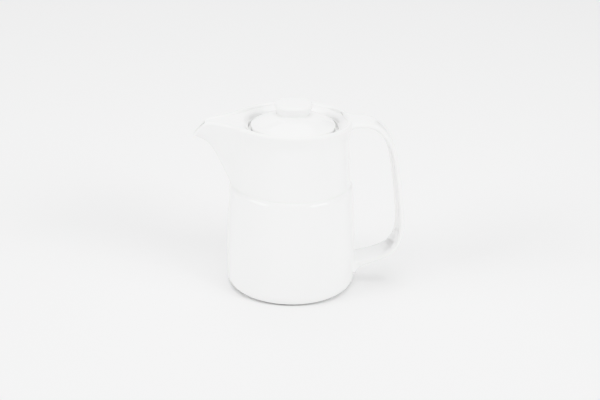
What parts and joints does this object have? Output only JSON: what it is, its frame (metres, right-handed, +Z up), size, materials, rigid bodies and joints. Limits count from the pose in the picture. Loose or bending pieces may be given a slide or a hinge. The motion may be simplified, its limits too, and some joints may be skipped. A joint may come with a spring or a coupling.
{
  "type": "coffee pot",
  "caption": "White glazed porcelain coffee pot with a stepped round body, closed beak spout, strap handle and a loose domed lid that lifts out and turns.",
  "frame": {"origin": "centre of the foot ring on the table", "axes": "+Z up along the pot's axis, +X towards the handle, so the spout points to -X"},
  "size_m": [0.1729, 0.104, 0.1562],
  "materials": {
    "glaze": "clear gloss glaze over white porcelain, even and smooth",
    "bare_foot": "unglazed fired porcelain, matte and slightly rough"
  },
  "bodies": {
    "pot": {"pot_body": "glaze", "foot_ring": "bare_foot", "lid_seat": "glaze", "spout": "glaze", "handle": "glaze"},
    "lid_base": {"lid_skirt": "glaze"},
    "lid_top": {"lid_plate": "glaze", "lid_knob": "glaze"}
  },
  "joints": [
    {"name": "lid_lift", "type": "slide", "parent": "pot", "child": "lid_base", "axis": [0, 0, 1], "range_m": [0, 0.06]},
    {"name": "lid_turn", "type": "hinge", "parent": "lid_base", "child": "lid_top", "pos_m": [0, 0, 0.1336], "axis": [0, 0, 1], "continuous": true}
  ]
}
